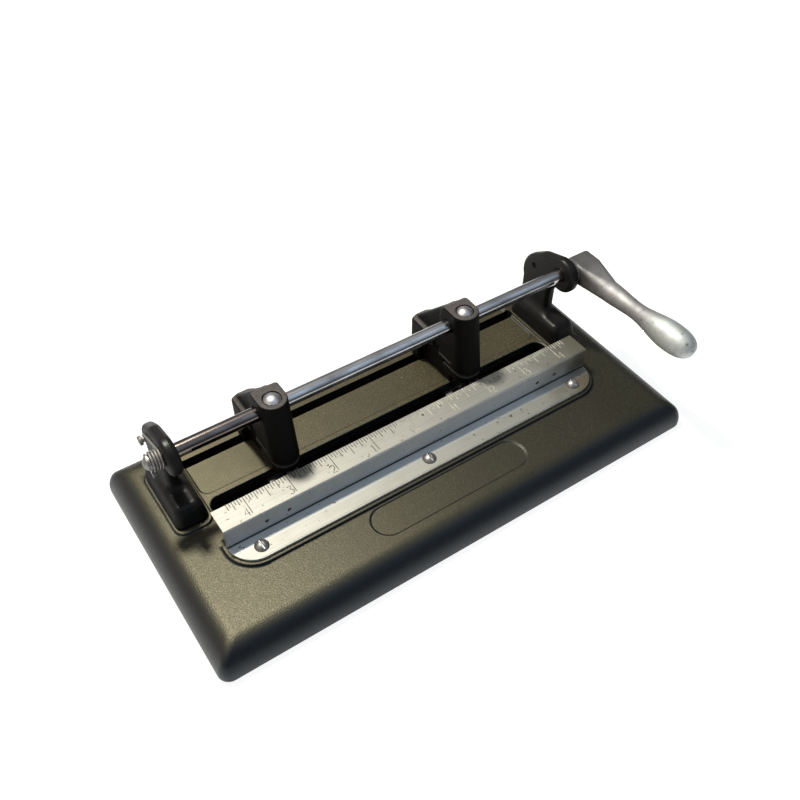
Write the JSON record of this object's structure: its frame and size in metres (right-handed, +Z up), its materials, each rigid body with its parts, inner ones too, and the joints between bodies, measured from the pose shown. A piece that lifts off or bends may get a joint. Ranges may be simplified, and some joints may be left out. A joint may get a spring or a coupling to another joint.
{
  "type": "adjustable paper punch",
  "caption": "Desk paper punch with a cast base, a steel gauge ruler, a rocking shaft with a crank handle, and sliding heads that punch round holes at a set spacing.",
  "frame": {"origin": "centre of the base's outline, at the underside of the base", "axes": "+X to the right along the ruler, +Y to the back, +Z up; the handle is at rest, level"},
  "size_m": [0.306, 0.147, 0.0765],
  "materials": {
    "japanned_iron": "speckled olive-brown japan over cast iron, semi-gloss",
    "black_iron": "black enamel over cast iron, semi-gloss",
    "ruler_steel": "worn nickelled steel, satin",
    "bright_steel": "polished steel, slightly mottled",
    "screw_steel": "plain steel, worn",
    "tool_steel": "hardened and ground steel"
  },
  "bodies": {
    "base": {"base_casting": "japanned_iron", "left_stand": "black_iron", "right_stand": "black_iron", "stand_screws": "screw_steel", "ruler_gauge": "ruler_steel", "ruler_screws": "screw_steel", "spring_anchor": "screw_steel", "stand_plug": "screw_steel", "stop_pin": "screw_steel", "return_spring": "bright_steel"},
    "crank": {"drive_shaft": "bright_steel", "crank_handle": "bright_steel", "handle_screw": "screw_steel", "thrust_collar": "screw_steel", "end_washer": "screw_steel", "end_screw": "screw_steel"},
    "left_carriage": {"left_head": "black_iron", "left_die": "tool_steel", "left_gib": "screw_steel", "left_gib_screw": "screw_steel"},
    "right_carriage": {"right_head": "black_iron", "right_die": "tool_steel", "right_gib": "screw_steel", "right_gib_screw": "screw_steel"},
    "left_plunger": {"left_punch": "tool_steel"},
    "right_plunger": {"right_punch": "tool_steel"},
    "left_driver": {"left_key": "tool_steel"},
    "right_driver": {"right_key": "tool_steel"}
  },
  "joints": [
    {"name": "crank_turn", "type": "hinge", "parent": "base", "child": "crank", "pos_m": [0, 0.0186, 0.0644], "axis": [1, 0, 0], "range_deg": [0, 27.5], "stiffness_Nm_per_rad": 0.15, "springref_deg": -68.75, "deforming": ["return_spring"]},
    {"name": "left_head_slide", "type": "slide", "parent": "base", "child": "left_carriage", "axis": [1, 0, 0], "range_m": [-0.031, 0.058]},
    {"name": "left_key_turn", "type": "hinge", "parent": "left_carriage", "child": "left_driver", "pos_m": [-0.0704, 0.0186, 0.0644], "axis": [1, 0, 0], "range_deg": [0, 27.5]},
    {"name": "left_punch_slide", "type": "slide", "parent": "left_carriage", "child": "left_plunger", "axis": [0, 0, -1], "range_m": [0, 0.0025]},
    {"name": "right_head_slide", "type": "slide", "parent": "base", "child": "right_carriage", "axis": [1, 0, 0], "range_m": [-0.0375, 0.0515]},
    {"name": "right_key_turn", "type": "hinge", "parent": "right_carriage", "child": "right_driver", "pos_m": [0.0496, 0.0186, 0.0644], "axis": [1, 0, 0], "range_deg": [0, 27.5]},
    {"name": "right_punch_slide", "type": "slide", "parent": "right_carriage", "child": "right_plunger", "axis": [0, 0, -1], "range_m": [0, 0.0025]}
  ],
  "couplings": [
    {"joint": "left_key_turn", "follows": "crank_turn", "ratio": 1},
    {"joint": "left_punch_slide", "follows": "crank_turn", "m_per_rad": 0.005195},
    {"joint": "right_key_turn", "follows": "crank_turn", "ratio": 1},
    {"joint": "right_punch_slide", "follows": "crank_turn", "m_per_rad": 0.005195}
  ]
}
